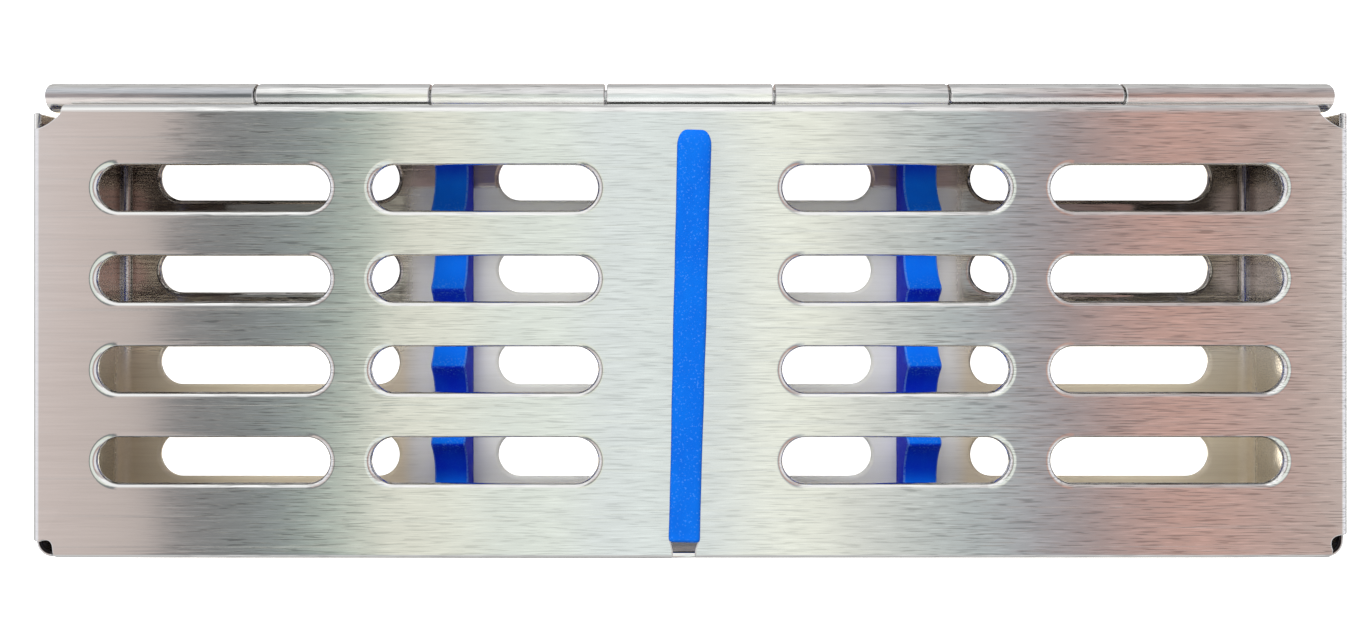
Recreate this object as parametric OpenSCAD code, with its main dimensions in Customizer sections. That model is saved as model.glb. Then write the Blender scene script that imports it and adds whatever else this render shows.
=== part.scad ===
// Sterilising tray for five hand instruments. A perforated steel base and a
// perforated steel lid share a full-length piano hinge at the rear. Two scalloped
// silicone combs hold the instruments and a strip under the lid presses on them.
// Millimetres. +X runs along the hinge, +Y to the hinge side, +Z up. The origin is
// at the middle of the footprint, at the level that the tray stands on.

/* [Sheet] */
// Thickness of the lid and base sheet
sheet = 0.8; // [0.6:0.1:1.2]
// Outside radius of the lid's bends
lid_bend_r = 1.4; // [1.2:0.1:3]
// Outside radius of the base's bends
base_bend_r = 1.9; // [1.2:0.1:3]
// Running gap between the lid's flange and the base wall
wall_gap = 0.3; // [0.2:0.1:1]

/* [Lid] */
// Length of the lid along the hinge
lid_l = 180; // [120:1:240]
// Depth of the lid, front face to rear bend
lid_w = 62.3; // [45:0.1:90]
// Height of the lid's top face above the ground
lid_top = 21; // [18:0.5:30]
// Depth of the lid's front and end flanges
flange_h = 12; // [6:0.5:16]
// Outside radius where two flanges meet at a front corner
lid_corner_r = 2.3; // [1.5:0.1:5]
// Radius of the relief hole at a front corner
front_relief_r = 1.6; // [1:0.1:3]
// Cut at a rear corner, measured along the hinge
rear_relief = 4.2; // [2:0.1:6]
// Distance from the end flange's rear end to the lid's rear face
rear_stop = 1.3; // [1.2:0.1:3]
// Same cut measured from the lid's rear face to the front
slit_l = 3.4; // [2:0.1:6]

/* [Lid slots] */
// Width of a slot, front to rear
slot_w = 6.2; // [4:0.05:8]
// Distance between rows of slots
slot_pitch = 12.4; // [10:0.05:16]
// Rows of slots
slot_rows = 4; // [2:1:5]
// How far the rows sit to the rear of the lid's middle
slot_shift = 1; // [-2:0.05:2]
// Inner end of an inner slot, from the middle
inner_from = 12.6; // [8:0.05:20]
// Outer end of an inner slot, from the middle
inner_to = 43.5; // [30:0.05:50]
// Inner end of an outer slot, from the middle
outer_from = 49.2; // [46:0.05:60]
// Outer end of an outer slot, from the middle
outer_to = 80.95; // [70:0.05:86]

/* [Base] */
// Height of the base's front and end walls, from the ground
wall_top = 10.5; // [6:0.5:14]
// Outside radius of the base's upright corners
base_corner_r = 1.9; // [1.2:0.1:4]
// Radius of the drain hole in each bottom corner
base_relief_r = 1.3; // [1:0.1:2]

/* [Base slots] */
// Width of a slot in the floor, front to rear
floor_slot_w = 6.9; // [4:0.1:9]
// Distance between rows of slots in the floor
floor_pitch = 14.5; // [12:0.1:18]
// How far the rows sit to the rear of the floor's middle
floor_shift = 0.85; // [-2:0.05:2]
// Inner end of an outer floor slot, from the middle
floor_from = 45; // [42:0.1:60]
// Outer end of an outer floor slot, from the middle
floor_to = 82.7; // [70:0.1:86]
// Half the length of a middle floor slot
floor_mid = 29.4; // [20:0.1:32]

/* [Hinge] */
// Outside radius of the rolled knuckles
barrel_r = 2; // [1.6:0.1:3]
// Radius of the bore in the knuckles
bore_r = 1.2; // [0.8:0.05:1.5]
// Radius of the hinge pin
pin_r = 1.15; // [0.75:0.05:1.45]
// Drop from the lid's top face to the pin's centre
axis_drop = 3.5; // [3:0.1:5]
// Half the length of the hinge
hinge_half = 89; // [60:0.5:119]
// Length of the middle knuckle
mid_knuckle = 23.3; // [16:0.1:36]
// Length of each knuckle beside it, the end ones take up the rest
knuckle_l = 24.2; // [16:0.1:36]
// Gap between neighbouring knuckles
knuckle_gap = 0.3; // [0.2:0.05:0.6]

/* [Combs] */
// Distance of each comb from the middle
comb_x = 35.9; // [30:0.1:60]
// Thickness of a comb along the hinge
comb_t = 5.25; // [3:0.05:8]
// Height of a comb's ridges above the floor
comb_h = 6.85; // [4:0.05:10]
// Distance between neighbouring instruments
comb_pitch = 11.65; // [9:0.05:15]
// Radius of the scallop that holds an instrument
scallop_r = 7.5; // [6:0.1:9]
// Depth of the scallop below the ridges' crest line
scallop_deep = 2.95; // [1:0.05:5]
// Number of instruments
places = 5; // [3:1:6]
// Front end of a comb, from the front wall's inner face
comb_front = 0.4; // [0.2:0.1:5]
// Rear end of a comb, from the rear wall's inner face
comb_rear = 1.3; // [0.2:0.1:5]
// Width of the web that joins a comb to its foot
comb_web = 2.4; // [1.5:0.1:4]
// Width of the foot bead under the floor
foot_w = 4.7; // [3:0.1:8]
// Height of the foot bead under the floor
foot_h = 1; // [0.5:0.1:3]

/* [Lid strip] */
// Width of the bead on top of the lid
bead_w = 4.7; // [3:0.1:8]
// Height of the bead above the lid
bead_h = 1; // [0.5:0.1:2]
// Distance of the bead's rear end from the lid's rear face
bead_rear = 3.7; // [2:0.1:10]
// Distance of the bead's front end from the lid's front face
bead_front = 2.6; // [1:0.1:10]
// Width of the slot that the strip is held in
strip_slot = 3; // [2:0.1:4]
// Width of the slot's mouth behind the front bend
mouth_w = 3.8; // [2:0.1:4.5]
// Turn of that slot and the strip out of square, in degrees
strip_turn = 1.45; // [-2:0.05:2]
// Width of the bar that presses on the instruments
bar_w = 5; // [3:0.1:8]
// Depth of the pressing bar below the lid
bar_h = 5; // [2:0.1:7]

/* [Hidden] */
$fa = 6;
$fs = 0.35;
e = 0.01; // overlap that makes a cut pass right through
x_lid = lid_l / 2;
y_rear = lid_w / 2 - 1.6;
y_front = y_rear - lid_w;
y_mid = (y_front + y_rear) / 2;
z_flange = lid_top - flange_h;
z_floor = foot_h;
z_in = z_floor + sheet;
x_base = x_lid - sheet - wall_gap;
y_base = y_front + sheet + wall_gap;
axis_y = y_rear - sheet + barrel_r;
axis_z = lid_top - axis_drop;
knuckles = 7;

// Where each knuckle meets the next, from the left end of the hinge to the right.
function joint_at(i) = i == 0 ? -hinge_half
    : i == knuckles ? hinge_half
    : sign(i - knuckles / 2) * (mid_knuckle / 2 + (abs(i - knuckles / 2) - 0.5) * knuckle_l);

lid_slot_y = y_mid + slot_shift;
floor_y = y_mid + floor_shift;
comb_y = y_mid - 0.38;
comb_y0 = y_base + sheet + comb_front;
comb_y1 = y_rear - sheet - comb_rear;

// An upright block that narrows to rounded corners at the front, seen from above.
module plan_shape(x, y0, y1, r) {
    translate([-x, y0 + r]) square([2 * x, y1 - y0 - r]);
    translate([-x + r, y0]) square([2 * x - 2 * r, y1 - y0]);
    for (s = [-1, 1]) translate([s * (x - r), y0 + r]) circle(r);
}

// A rectangle whose two lower corners are rounded.
module bent_shape(a, b, z0, z1, r) {
    translate([a, z0 + r]) square([b - a, z1 - z0 - r]);
    translate([a + r, z0]) square([b - a - 2 * r, z1 - z0]);
    translate([a + r, z0 + r]) circle(r);
    translate([b - r, z0 + r]) circle(r);
}

// A pan with bends of radius bend along its bottom edges, opening upwards.
module pan(x, y0, y1, z0, z1, bend, corner) {
    intersection() {
        translate([0, 0, z0 - 1]) linear_extrude(z1 - z0 + 1) plan_shape(x, y0, y1, corner);
        translate([0, y1 + 1, 0]) rotate([90, 0, 0]) linear_extrude(y1 - y0 + 2)
            bent_shape(-x, x, z0, z1, bend);
        translate([-x - 1, 0, 0]) rotate([90, 0, 90]) linear_extrude(2 * x + 2)
            bent_shape(y0, y1, z0, z1, bend);
    }
}

// An obround hole from x0 to x1, cut through a sheet between z0 and z1.
module slot(x0, x1, y, w, z0, z1) {
    translate([0, y, z0]) linear_extrude(z1 - z0) {
        translate([x0 + w / 2, -w / 2]) square([x1 - x0 - w, w]);
        translate([x0 + w / 2, 0]) circle(w / 2);
        translate([x1 - w / 2, 0]) circle(w / 2);
    }
}

// The span of one knuckle, less its share of the gaps.
function span(i) = [
    joint_at(i) + (i == 0 ? 0 : knuckle_gap / 2),
    joint_at(i + 1) - (i == knuckles - 1 ? 0 : knuckle_gap / 2)
];

// A rod along the hinge axis, from a to b.
module rod(a, b, r) {
    translate([a, axis_y, axis_z]) rotate([0, 90, 0]) cylinder(r = r, h = b - a);
}

// Rolled knuckles number first, first + 2 and so on, with the leaf that feeds them.
module rolled(first, z0, z1) {
    for (i = [first : 2 : knuckles - 1]) {
        a = span(i)[0];
        b = span(i)[1];
        rod(a, b, barrel_r);
        translate([a, y_rear - sheet, z0]) cube([b - a, sheet, z1 - z0]);
    }
}

// Turns the strip and its slot a little out of square about the lid's middle.
module turned() {
    translate([-0.13, y_mid, 0]) rotate([0, 0, -strip_turn]) translate([0, -y_mid, 0]) children();
}

module lid_shell() {
    difference() {
        translate([0, 0, lid_top]) mirror([0, 0, 1])
            pan(x_lid, y_front, y_rear, 0, flange_h, lid_bend_r, lid_corner_r);
        translate([0, 0, lid_top - sheet]) mirror([0, 0, 1])
            pan(x_lid - sheet, y_front + sheet, y_rear - sheet, 0, flange_h + 1,
                lid_bend_r - sheet, lid_corner_r - sheet);
        // the rear flange stops above the base's knuckles
        translate([-x_lid - 1, y_rear - sheet - e, z_flange - 1])
            cube([2 * x_lid + 2, sheet + 1, axis_z + barrel_r + 0.1 - z_flange + 1]);
        // relief at the rear corners: the flange runs on past the cut in the top
        for (m = [0, 1]) mirror([m, 0, 0]) {
            translate([x_lid - rear_relief, y_rear - rear_stop, z_flange - 1])
                cube([rear_relief + 1, rear_stop + 1, flange_h + 2]);
            translate([x_lid, y_rear, lid_top - lid_bend_r]) linear_extrude(3)
                polygon([
                    [-sheet, -slit_l], [-sheet - 1.3, -slit_l], [-rear_relief, -rear_stop],
                    [-rear_relief, 1], [-sheet, 1]
                ]);
        }
        // relief at the front corners
        for (s = [-1, 1]) translate([s * (x_lid - 1.7), y_front + 1.4, lid_top - lid_bend_r])
            cylinder(r = front_relief_r, h = 3);
    }
}

module lid_cover() color("#c9cbc8") {
    difference() {
        union() {
            lid_shell();
            rolled(1, axis_z, lid_top - lid_bend_r);
        }
        rod(-x_lid, x_lid, bore_r);
        for (k = [0 : slot_rows - 1], s = [-1, 1]) {
            y = lid_slot_y + (k - (slot_rows - 1) / 2) * slot_pitch;
            translate([s * (inner_from + inner_to) / 2, 0, 0])
                slot(-(inner_to - inner_from) / 2, (inner_to - inner_from) / 2, y, slot_w,
                    lid_top - sheet - 1, lid_top + 1);
            translate([s * (outer_from + outer_to) / 2, 0, 0])
                slot(-(outer_to - outer_from) / 2, (outer_to - outer_from) / 2, y, slot_w,
                    lid_top - sheet - 1, lid_top + 1);
        }
        // slot for the strip, cut on into the front bend and wider just behind it
        turned() translate([0, 0, lid_top - 1.3]) linear_extrude(3) {
            translate([-strip_slot / 2, y_front - 1]) square([strip_slot, lid_w - bead_rear]);
            polygon([
                [-strip_slot / 2, y_front], [strip_slot / 2, y_front],
                [mouth_w / 2, y_front + bead_front + 0.2], [strip_slot / 2, y_front + bead_front + 2],
                [-strip_slot / 2, y_front + bead_front + 2], [-mouth_w / 2, y_front + bead_front + 0.2]
            ]);
        }
    }
}

module base_tray() color("#bdbfbc") {
    difference() {
        union() {
            difference() {
                pan(x_base, y_base, y_rear, z_floor, wall_top, base_bend_r, base_corner_r);
                pan(x_base - sheet, y_base + sheet, y_rear - sheet, z_in, wall_top + 1,
                    base_bend_r - sheet, base_corner_r - sheet);
            }
            // the rear wall runs on up to the hinge, between the lid's knuckles
            translate([-x_base, y_rear - sheet, wall_top - 1])
                cube([2 * x_base, sheet, axis_z - barrel_r - 0.3 - wall_top + 1]);
            rolled(0, wall_top, axis_z);
        }
        rod(-x_lid, x_lid, bore_r);
        for (k = [-1.5 : 1 : 1.5]) {
            y = floor_y + k * floor_pitch;
            slot(-floor_mid, floor_mid, y, floor_slot_w, z_floor - 1, z_in + 1);
            for (s = [-1, 1]) translate([s * (floor_from + floor_to) / 2, 0, 0])
                slot(-(floor_to - floor_from) / 2, (floor_to - floor_from) / 2, y,
                    floor_slot_w, z_floor - 1, z_in + 1);
        }
        // slots for the combs' webs
        for (s = [-1, 1]) translate([s * comb_x - comb_web / 2 - 0.05, comb_y0 + 2.95, z_floor - 1])
            cube([comb_web + 0.1, comb_y1 - comb_y0 - 5.9, sheet + 2]);
        // drain holes where the walls meet
        for (s = [-1, 1]) translate([s * (x_base - 1.5), y_base + 1.5, z_floor - 1])
            cylinder(r = base_relief_r, h = 2.6);
    }
}

module hinge_pin() color("#a9abad") {
    rod(-hinge_half + 0.4, hinge_half - 0.4, pin_r);
}

module comb(s) {
    translate([s * comb_x, 0, 0]) {
        difference() {
            translate([-comb_t / 2, comb_y0, z_in]) cube([comb_t, comb_y1 - comb_y0, comb_h]);
            for (k = [0 : places - 1])
                translate([0, comb_y + (k - (places - 1) / 2) * comb_pitch,
                        z_in + comb_h + 0.15 - scallop_deep + scallop_r])
                    rotate([0, 90, 0]) cylinder(r = scallop_r, h = comb_t + 2, center = true);
        }
        translate([-comb_web / 2, comb_y0 + 3, z_floor - e])
            cube([comb_web, comb_y1 - comb_y0 - 6, sheet + 2 * e]);
        translate([-foot_w / 2, comb_y0 + 1, 0]) cube([foot_w, comb_y1 - comb_y0 - 2, foot_h]);
    }
}

module left_comb() color("#1668e0") comb(-1);

module right_comb() color("#1668e0") comb(1);

module lid_strip() color("#1668e0") turned() {
    y0 = y_front + bead_front;
    y1 = y_rear - bead_rear;
    r = 1;
    // bead with rounded corners, lying on the lid
    translate([0, 0, lid_top]) linear_extrude(bead_h) {
        translate([-bead_w / 2, y0 + r]) square([bead_w, y1 - y0 - 2 * r]);
        translate([-bead_w / 2 + r, y0]) square([bead_w - 2 * r, y1 - y0]);
        for (x = [-1, 1], y = [y0 + r, y1 - r]) translate([x * (bead_w / 2 - r), y]) circle(r);
    }
    translate([-strip_slot / 2 + 0.05, y0 + 1, lid_top - sheet - e])
        cube([strip_slot - 0.1, y1 - y0 - 2.1, sheet + 2 * e]);
    translate([-bar_w / 2, y0 + 1, lid_top - sheet - bar_h])
        cube([bar_w, y1 - y0 - 3, bar_h]);
}

lid_cover();
base_tray();
hinge_pin();
left_comb();
right_comb();
lid_strip();
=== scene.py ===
"""Looks of a sterilising tray for five hand instruments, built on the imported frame.

Each sub-assembly is a class that builds its meshes and dresses them: the folded lid, the folded
base, the hinge wire, the silicone combs and the silicone strip in the lid. Lengths inside the
classes are in millimetres, and Workshop.place turns them into metres in the frame.
"""

import logging
import math
from dataclasses import dataclass, field
from enum import Enum
from typing import Callable, Sequence

import bmesh
import bpy
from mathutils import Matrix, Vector, noise
from mathutils.geometry import delaunay_2d_cdt


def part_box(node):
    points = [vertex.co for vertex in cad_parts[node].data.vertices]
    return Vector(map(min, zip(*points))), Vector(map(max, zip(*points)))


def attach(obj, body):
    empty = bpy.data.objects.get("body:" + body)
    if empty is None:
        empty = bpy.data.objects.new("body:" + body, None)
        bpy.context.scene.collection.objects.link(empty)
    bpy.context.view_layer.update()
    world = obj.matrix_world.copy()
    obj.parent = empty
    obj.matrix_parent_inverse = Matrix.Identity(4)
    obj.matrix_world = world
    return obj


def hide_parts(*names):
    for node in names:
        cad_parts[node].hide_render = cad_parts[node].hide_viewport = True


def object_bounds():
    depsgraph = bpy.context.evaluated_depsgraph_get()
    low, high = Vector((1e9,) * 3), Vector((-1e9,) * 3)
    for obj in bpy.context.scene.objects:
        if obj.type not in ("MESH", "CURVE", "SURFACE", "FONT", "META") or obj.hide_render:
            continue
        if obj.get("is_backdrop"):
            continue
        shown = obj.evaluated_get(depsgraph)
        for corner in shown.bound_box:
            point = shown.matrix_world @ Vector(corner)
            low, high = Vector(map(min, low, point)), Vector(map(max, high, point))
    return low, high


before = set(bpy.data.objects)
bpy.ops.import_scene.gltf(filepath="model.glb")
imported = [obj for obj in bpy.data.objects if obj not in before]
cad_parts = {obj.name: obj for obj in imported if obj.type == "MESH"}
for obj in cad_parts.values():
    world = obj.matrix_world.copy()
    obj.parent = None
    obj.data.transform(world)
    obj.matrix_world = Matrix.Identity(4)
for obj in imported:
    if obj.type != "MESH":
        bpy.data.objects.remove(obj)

log = logging.getLogger("tray")

Point2 = tuple[float, float]
Point3 = tuple[float, float, float]

MM = 0.001


class Side(Enum):
    """Left or right end of the tray."""

    LEFT = -1
    RIGHT = 1


# --------------------------------------------------------------------------- shader expressions


class Signal:
    """A node socket that takes part in arithmetic. Each operation adds one Math node."""

    def __init__(self, graph: "Graph", socket: bpy.types.NodeSocket | None) -> None:
        """Wraps a socket.

        Args:
            graph: the node graph that the socket belongs to.
            socket: the output socket.
        """
        self.graph = graph
        self.socket = socket

    def _math(self, operation: str, *values: "Signal | float") -> "Signal":
        """Adds a Math node.

        Args:
            operation: the Math node's operation.
            values: its inputs, as signals or numbers.

        Returns:
            The node's output.
        """
        inputs = {i: v for i, v in enumerate(values)}
        return self.graph.add("ShaderNodeMath", {"operation": operation}, inputs)

    def __add__(self, other: "Signal | float") -> "Signal":
        """self + other."""
        return self._math("ADD", self, other)

    def __radd__(self, other: float) -> "Signal":
        """other + self."""
        return self._math("ADD", other, self)

    def __sub__(self, other: "Signal | float") -> "Signal":
        """self - other."""
        return self._math("SUBTRACT", self, other)

    def __rsub__(self, other: float) -> "Signal":
        """other - self."""
        return self._math("SUBTRACT", other, self)

    def __mul__(self, other: "Signal | float") -> "Signal":
        """self * other."""
        return self._math("MULTIPLY", self, other)

    def __rmul__(self, other: float) -> "Signal":
        """other * self."""
        return self._math("MULTIPLY", other, self)

    def __truediv__(self, other: "Signal | float") -> "Signal":
        """self / other."""
        return self._math("DIVIDE", self, other)

    def __rtruediv__(self, other: float) -> "Signal":
        """other / self."""
        return self._math("DIVIDE", other, self)

    def __pow__(self, other: "Signal | float") -> "Signal":
        """self to the power other."""
        return self._math("POWER", self, other)

    def __abs__(self) -> "Signal":
        """Absolute value."""
        return self._math("ABSOLUTE", self)

    def least(self, floor: float) -> "Signal":
        """This value, or the floor where that is higher."""
        return self._math("MAXIMUM", self, floor)

    def above(self, edge: float, width: float) -> "Signal":
        """A soft step up.

        Args:
            edge: where the step is half way.
            width: how wide the step is.

        Returns:
            0 below the step and 1 above it.
        """
        ends = {"From Min": edge - width / 2, "From Max": edge + width / 2}
        node = self.graph.add(
            "ShaderNodeMapRange", {"interpolation_type": "SMOOTHSTEP"}, {"Value": self, **ends}
        )
        return node


class Graph:
    """Builds one node tree."""

    def __init__(self, tree: bpy.types.NodeTree) -> None:
        """Empties the tree.

        Args:
            tree: the node tree of a material or of the world.
        """
        self.tree = tree
        tree.nodes.clear()

    def add(
        self,
        kind: str,
        settings: dict[str, object] | None = None,
        inputs: dict[str | int, object] | None = None,
        output: str | int = 0,
    ) -> Signal:
        """Adds one node.

        Args:
            kind: the node's type.
            settings: attributes that are set before the sockets. "stops" fills a colour ramp.
            inputs: values or signals, by socket name or number.
            output: which output is returned.

        Returns:
            That output as a signal.
        """
        node = self.tree.nodes.new(kind)
        for name, value in (settings or {}).items():
            if name == "stops":
                self._fill(node.color_ramp, value)
            else:
                setattr(node, name, value)
        for name, value in (inputs or {}).items():
            socket = node.inputs[name]
            if isinstance(value, Signal):
                self.tree.links.new(value.socket, socket)
            else:
                socket.default_value = value
        return Signal(self, node.outputs[output] if len(node.outputs) else None)

    @staticmethod
    def _fill(ramp: bpy.types.ColorRamp, stops: Sequence[tuple[float, Sequence[float]]]) -> None:
        """Sets a ramp's stops.

        Args:
            ramp: the colour ramp.
            stops: position and colour of each stop, in order.
        """
        while len(ramp.elements) > 1:
            ramp.elements.remove(ramp.elements[-1])
        ramp.elements[0].position = stops[0][0]
        ramp.elements[0].color = (*stops[0][1], 1.0)
        for place, colour in stops[1:]:
            ramp.elements.new(place).color = (*colour, 1.0)

    def blend(self, amount: Signal | float, first: object, second: object) -> Signal:
        """Mixes two colours.

        Args:
            amount: 0 gives first and 1 gives second.
            first: a colour or a signal.
            second: a colour or a signal.

        Returns:
            The mixed colour.
        """
        settings = {"data_type": "RGBA", "clamp_factor": True}
        return self.add("ShaderNodeMix", settings, {0: amount, 6: first, 7: second}, 2)

    def place(self, scale: Point3, turn: Point3 = (0.0, 0.0, 0.0)) -> Signal:
        """Object coordinates, scaled and turned.

        Args:
            scale: scale along each axis, per metre.
            turn: rotation in radians.

        Returns:
            The vector.
        """
        where = self.add("ShaderNodeTexCoord", output="Object")
        return self.add("ShaderNodeMapping", {}, {"Vector": where, "Scale": scale, "Rotation": turn})

    def grain(self, scale: Point3, detail: float = 2.0, rough: float = 0.5) -> Signal:
        """Noise stretched along the axes.

        Args:
            scale: how many grains there are to a metre, along each axis.
            detail: octaves.
            rough: how strong the finer octaves are.

        Returns:
            The noise, about 0 to 1.
        """
        values = {"Vector": self.place(scale), "Scale": 1.0, "Detail": detail, "Roughness": rough}
        return self.add("ShaderNodeTexNoise", {}, values)


def colour_of(red: int, green: int, blue: int) -> tuple[float, float, float, float]:
    """Linear colour from 0 to 255 display values."""

    def linear(value: int) -> float:
        """One channel."""
        part = value / 255
        return part / 12.92 if part <= 0.04045 else ((part + 0.055) / 1.055) ** 2.4

    return linear(red), linear(green), linear(blue), 1.0


# --------------------------------------------------------------------------- finishes, with painted light and shade


class Direction(Enum):
    """Which way a steel surface was brushed."""

    LENGTHWISE = "lengthwise"
    DRAWN = "drawn"


@dataclass(frozen=True)
class BrushedSteel:
    """Stainless sheet, brushed along the tray.

    Args:
        name: the material's name.
        tone: base colour.
        roughness: base roughness.
        relief: height of the brush marks in metres.
        wear: strength of the short dashes.
        direction: which way it was brushed.
        rubbed_from: place along x from which the dashes show.
        calm: span along x in which they are faint.
        floor_rear_shade: how much darker the rear of the tray's floor is painted, as painted shade; it
            also switches on the floor's other painted light and shade and the knuckle tops' painted dark
            reflection.
        matt_painted_light: how matt and pale the front and the middle of the tray's floor are made; the
            paleness and lower metal are painted light, the matt is roughness.
        crown: how much darker the tops of the knuckles are painted, as a painted dark reflection.
        knuckle: how matt and pale the front halves of the knuckles are painted, as a painted bright
            reflection.
        pocket: middle of an upright corner and the height below which its inside is painted near black as
            shade, or 0.
    """

    name: str
    tone: tuple[float, float, float, float]
    roughness: float = 0.16
    relief: float = 0.000012
    wear: float = 1.0
    direction: Direction = Direction.LENGTHWISE
    rubbed_from: float = -1.0
    calm: Point2 = (-0.002, 0.002)
    floor_rear_shade: float = 0.0
    matt_painted_light: float = 0.0
    crown: float = 0.0
    knuckle: float = 0.0
    pocket: Point3 = (0.0, 0.0, 0.0)

    def make(self) -> bpy.types.Material:
        """Builds the material.

        Returns:
            The material.
        """
        material = bpy.data.materials.new(self.name)
        material.use_nodes = True
        g = Graph(material.node_tree)
        stretch = 1.0 if self.direction is Direction.LENGTHWISE else 0.35
        where = g.add("ShaderNodeTexCoord", output="Object")
        x = g.add("ShaderNodeSeparateXYZ", {}, {0: where}, 0)
        middle = x.above(self.calm[0], 0.012) - x.above(self.calm[1], 0.012)
        rubbed = x.above(self.rubbed_from, 0.008) * (1.0 - middle * 0.5)
        fine = g.grain((130.0 * stretch, 5200.0, 5200.0), 2.0, 0.6)
        coarse = g.grain((42.0 * stretch, 1500.0, 1500.0), 3.0, 0.55)
        hair = g.grain((16.0 * stretch, 2600.0, 2600.0), 1.0, 0.5)
        cloud = g.grain((9.0, 14.0, 14.0), 2.0, 0.5)
        dash = g.grain((250.0 * stretch, 5200.0, 5200.0), 1.5, 0.5)
        nick = dash.above(0.60, 0.1) * rubbed * self.wear
        glint = (1.0 - dash.above(0.38, 0.1)) * rubbed * self.wear
        scratch = hair.above(0.67, 0.06)
        marks = fine * 0.45 + coarse * 0.4 + hair * 0.25 - scratch * 0.35 - nick * 0.3
        light = tuple(min(1.0, c * 1.12) for c in self.tone[:3]) + (1.0,)
        dark = tuple(c * 0.8 for c in self.tone[:3]) + (1.0,)
        shade = coarse * 0.5 + fine * 0.35 + cloud * 0.25 - 0.05
        base = g.blend(shade, dark, light)
        base = g.blend(nick * 0.58, base, tuple(c * 0.4 for c in self.tone[:3]) + (1.0,))
        base = g.blend(glint * 0.6, base, (1.0, 1.0, 0.99, 1.0))
        rough = self.roughness + (coarse - 0.5) * 0.1 + (cloud - 0.5) * 0.05 + scratch * 0.08
        metal: Signal | float = 1.0
        y = g.add("ShaderNodeSeparateXYZ", {}, {0: where}, 1)
        z = g.add("ShaderNodeSeparateXYZ", {}, {0: where}, 2)
        # Painted shade and painted light on the floor, and a painted dark reflection on the knuckle tops,
        # all switched on by the rear shade amount.
        if self.floor_rear_shade:
            within = (1.0 - abs(x).above(0.0882, 0.0002)) * y.above(-0.03095, 0.0002)
            within = within * (1.0 - y.above(0.02885, 0.0002)) * z.above(0.0014, 0.0003)
            floor = (1.0 - z.above(0.0045, 0.002)) * within
            outer = abs(x).above(0.043, 0.004)
            # Painted shade: the outer parts of the floor turn dark brown towards the rear.
            rear_shade = floor * outer * y.above(0.004, 0.022) * self.floor_rear_shade
            base = g.blend(rear_shade, base, (0.2, 0.165, 0.15, 1.0))
            # Painted light: the outer parts of the floor turn a pale, matt, less metallic tan towards the
            # front, as a painted reflection.
            front = floor * outer * (1.0 - y.above(-0.006, 0.014)) * self.matt_painted_light
            tan = g.blend(shade, (0.72, 0.6, 0.42, 1.0), (1.0, 0.9, 0.7, 1.0))
            base = g.blend(front, base, tan)
            middle_floor = floor * (1.0 - outer)
            shaded = middle_floor * y.above(0.0195, 0.001)
            mouth = middle_floor * (1.0 - y.above(-0.0285, 0.001))
            pale = (middle_floor - shaded - mouth) * self.matt_painted_light
            # Painted shadow: the rear of the middle floor turns brownish and less metallic.
            base = g.blend(shaded * 0.8, base, (0.5, 0.37, 0.35, 1.0))
            # Painted shadow with a painted blue reflection: the front edge of the middle floor, below the
            # strip's mouth, turns slate blue.
            base = g.blend(mouth * 0.85, base, (0.12, 0.2, 0.32, 1.0))
            # Painted light: the rest of the middle floor turns pale, matt and less metallic.
            clear = g.blend(shade, (0.84, 0.83, 0.75, 1.0), (1.0, 1.0, 0.96, 1.0))
            base = g.blend(pale, base, clear)
            rough = rough + (front + pale) * 0.35
            metal = 1.0 - front - pale - shaded * 0.5
            # Painted dark reflection on the tops of the base's knuckles, strongest at the left end.
            end = 1.0 - x.above(-0.058, 0.004) * 0.55
            top = z.above(0.0191, 0.0005) * y.above(0.0304, 0.0004) * self.crown * end
            base = g.blend(top, base, (0.36, 0.38, 0.42, 1.0))
        # Painted bright reflection: the front halves of the knuckles turn pale and less metallic.
        if self.knuckle:
            barrel = z.above(0.0165, 0.001) * y.above(0.0296, 0.0002)
            barrel = barrel * (1.0 - y.above(0.0305, 0.0004)) * self.knuckle
            base = g.blend(barrel, base, (0.92, 0.92, 0.92, 1.0))
            metal = metal - barrel * 0.7
        # Painted shade: the inside of each upright front corner, below the given height, is near black.
        if self.pocket[0]:
            across = (abs(x) - self.pocket[0]).least(0.0)
            along = (self.pocket[1] - y).least(0.0)
            within = 1.0 - ((across * across + along * along) ** 0.5).above(0.0019, 0.0002)
            near = abs(x).above(self.pocket[0] - 0.0025, 0.0004)
            near = near * (0.0 - y).above(-self.pocket[1] - 0.002, 0.0004)
            below = 1.0 - z.above(self.pocket[2], 0.0002)
            base = g.blend(within * near * below, base, (0.02, 0.018, 0.02, 1.0))
        bump = g.add(
            "ShaderNodeBump", {}, {"Strength": 1.0, "Distance": self.relief, "Height": marks}
        )
        shader = g.add(
            "ShaderNodeBsdfPrincipled",
            {},
            {"Base Color": base, "Metallic": metal, "Roughness": rough, "Normal": bump},
        )
        g.add("ShaderNodeOutputMaterial", {}, {"Surface": shader})
        return material


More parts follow.
